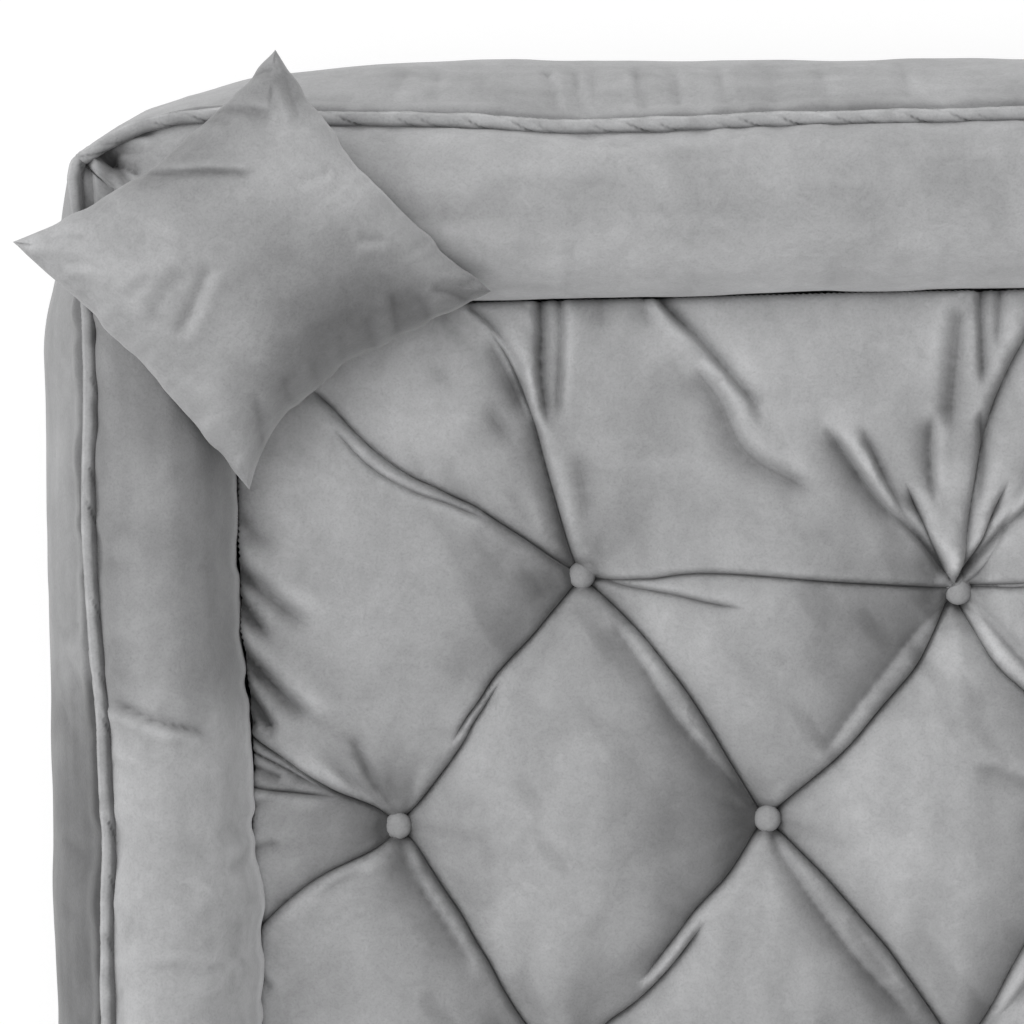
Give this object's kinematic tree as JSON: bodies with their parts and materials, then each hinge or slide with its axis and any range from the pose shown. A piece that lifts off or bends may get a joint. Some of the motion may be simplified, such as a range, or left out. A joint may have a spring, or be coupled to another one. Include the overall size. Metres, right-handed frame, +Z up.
{
  "type": "dog sofa bed",
  "caption": "Soft pet sofa bed with fibre-filled back and arms, a lift-out button-tufted seat cushion and a loose throw pillow across one corner.",
  "frame": {"origin": "on the floor under the middle of the bed", "axes": "+X along the width, the open front faces -Y, +Z up; the throw pillow lies at -X +Y"},
  "size_m": [1.2694, 0.9131, 0.3386],
  "materials": {
    "velvet": "grey short-pile velvet with a soft sheen",
    "pillow_velvet": "grey short-pile velvet with a soft sheen",
    "deck_cloth": "plain matt lining cloth",
    "nonslip_cloth": "dark cloth with small rubber dots",
    "foam": "open-cell foam",
    "fibre": "loose polyester fibre",
    "twine": "twisted twine",
    "anchor_plastic": "plain moulded",
    "zip_tape": "woven tape",
    "zip_coil": "nylon coil",
    "zip_metal": "dull nickel plate"
  },
  "bodies": {
    "bed": {"nonslip_bottom": "nonslip_cloth", "base_foam": "foam", "deck_panel": "deck_cloth", "front_band": "velvet", "back_outer_panel": "velvet", "left_outer_panel": "velvet", "right_outer_panel": "velvet", "back_inner_panel": "velvet", "left_inner_panel": "velvet", "right_inner_panel": "velvet", "back_fill": "fibre", "left_arm_fill": "fibre", "right_arm_fill": "fibre", "back_welt": "velvet", "left_welt": "velvet", "right_welt": "velvet", "left_facing": "velvet", "right_facing": "velvet", "left_facing_welt": "velvet", "right_facing_welt": "velvet", "zip_tape": "zip_tape", "zip_coil": "zip_coil"},
    "slider": {"zip_slider": "zip_metal"},
    "pull": {"zip_pull": "zip_metal"},
    "seat": {"seat_top_panel": "velvet", "seat_boxing": "velvet", "seat_bottom_panel": "deck_cloth", "seat_wadding": "fibre", "seat_foam_core": "foam", "tuft_buttons": "velvet", "tuft_twine": "twine", "twine_anchors": "anchor_plastic"},
    "pillow": {"pillow_front_panel": "pillow_velvet", "pillow_back_panel": "pillow_velvet", "pillow_fill": "fibre"}
  },
  "joints": [
    {"name": "seat_lift", "type": "slide", "parent": "bed", "child": "seat", "axis": [0, 0, 1], "range_m": [0, 0.3]},
    {"name": "pillow_lift", "type": "slide", "parent": "seat", "child": "pillow", "axis": [0, 0, 1], "range_m": [0, 0.25]},
    {"name": "zip_slide", "type": "slide", "parent": "bed", "child": "slider", "axis": [1, 0, 0], "range_m": [0, 0.472]},
    {"name": "pull_swing", "type": "hinge", "parent": "slider", "child": "pull", "pos_m": [-0.236, 0.43985, 0.02214], "axis": [0, -0.4253, -0.905], "range_deg": [0, 180]}
  ]
}
